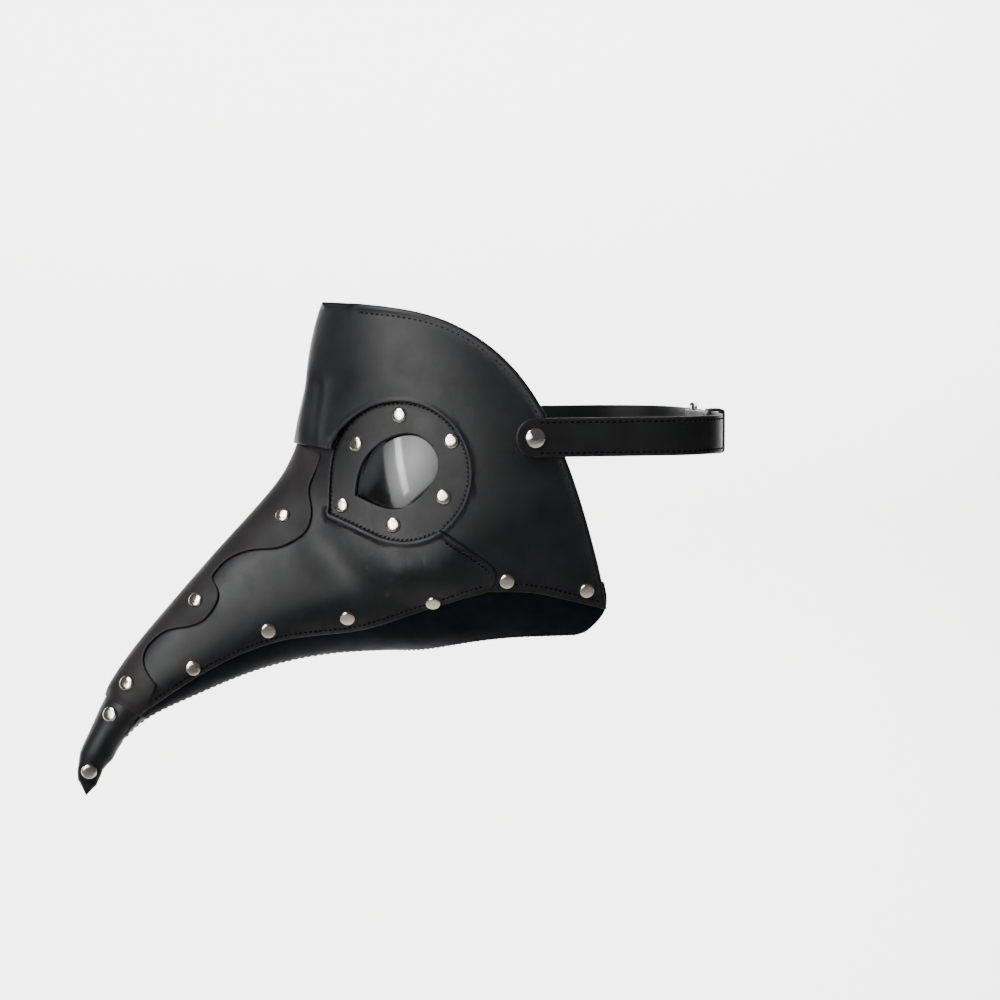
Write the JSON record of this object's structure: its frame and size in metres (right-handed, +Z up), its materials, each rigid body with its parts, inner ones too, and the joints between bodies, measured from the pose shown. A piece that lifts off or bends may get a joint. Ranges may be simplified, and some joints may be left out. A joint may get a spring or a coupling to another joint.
{
  "type": "plague doctor mask",
  "caption": "Leather mask with a long down-curved beak, riveted seams, two round lens windows and a buckled head strap that swings at the temples.",
  "frame": {"origin": "midway between the centres of the two lenses", "axes": "+Z up, -Y along the beak's forward direction, +X to the wearer's left; +Y points back toward the head"},
  "size_m": [0.1692, 0.354, 0.2571],
  "materials": {
    "panel_leather": "smooth semi-matte black faux leather",
    "jaw_leather": "smooth semi-matte black faux leather",
    "strip_leather": "matte black faux leather",
    "tip_leather": "smooth semi-matte black faux leather",
    "core_leather": "dark pinched leather end",
    "plate_leather": "smooth semi-matte black faux leather",
    "lens_clear": "clear, faintly smoky curved plastic",
    "retainer_leather": "matte black backing leather",
    "rivet_metal": "polished nickel domes",
    "strap_leather": "smooth black strap leather",
    "buckle_metal": "polished nickel"
  },
  "bodies": {
    "mask": {"side_panel_left": "panel_leather", "side_panel_right": "panel_leather", "face_panel": "panel_leather", "lower_panel_left": "jaw_leather", "lower_panel_right": "jaw_leather", "ridge_strip": "strip_leather", "tip_cap": "tip_leather", "tip_core": "core_leather", "eye_plate_left": "plate_leather", "eye_plate_right": "plate_leather", "lens_left": "lens_clear", "lens_right": "lens_clear", "lens_retainer_left": "retainer_leather", "lens_retainer_right": "retainer_leather", "ridge_rivets_left": "rivet_metal", "ridge_rivets_right": "rivet_metal", "tip_rivets_left": "rivet_metal", "tip_rivets_right": "rivet_metal", "lower_rivets_left": "rivet_metal", "lower_rivets_right": "rivet_metal", "eye_rivets_left": "rivet_metal", "eye_rivets_right": "rivet_metal", "temple_stud_left": "rivet_metal", "temple_stud_right": "rivet_metal"},
    "head_strap": {"strap_left": "strap_leather", "strap_right": "strap_leather", "buckle_frame": "buckle_metal"},
    "prong": {"buckle_prong": "buckle_metal"},
    "roller": {"buckle_roller": "buckle_metal"},
    "keeper": {"strap_keeper": "strap_leather"}
  },
  "joints": [
    {"name": "strap_swing", "type": "hinge", "parent": "mask", "child": "head_strap", "pos_m": [0, 0.066, 0.02], "axis": [1, 0, 0], "range_deg": [-30, 20]},
    {"name": "prong_lift", "type": "hinge", "parent": "head_strap", "child": "prong", "pos_m": [-0.008, 0.18005, 0.02], "axis": [0, 0, -1], "range_deg": [0, 4]},
    {"name": "roller_spin", "type": "hinge", "parent": "head_strap", "child": "roller", "pos_m": [-0.03, 0.18925, 0.02], "axis": [0, 0, 1], "continuous": true},
    {"name": "keeper_slide", "type": "slide", "parent": "head_strap", "child": "keeper", "axis": [1, 0, 0], "range_m": [-0.003, 0.003]}
  ]
}
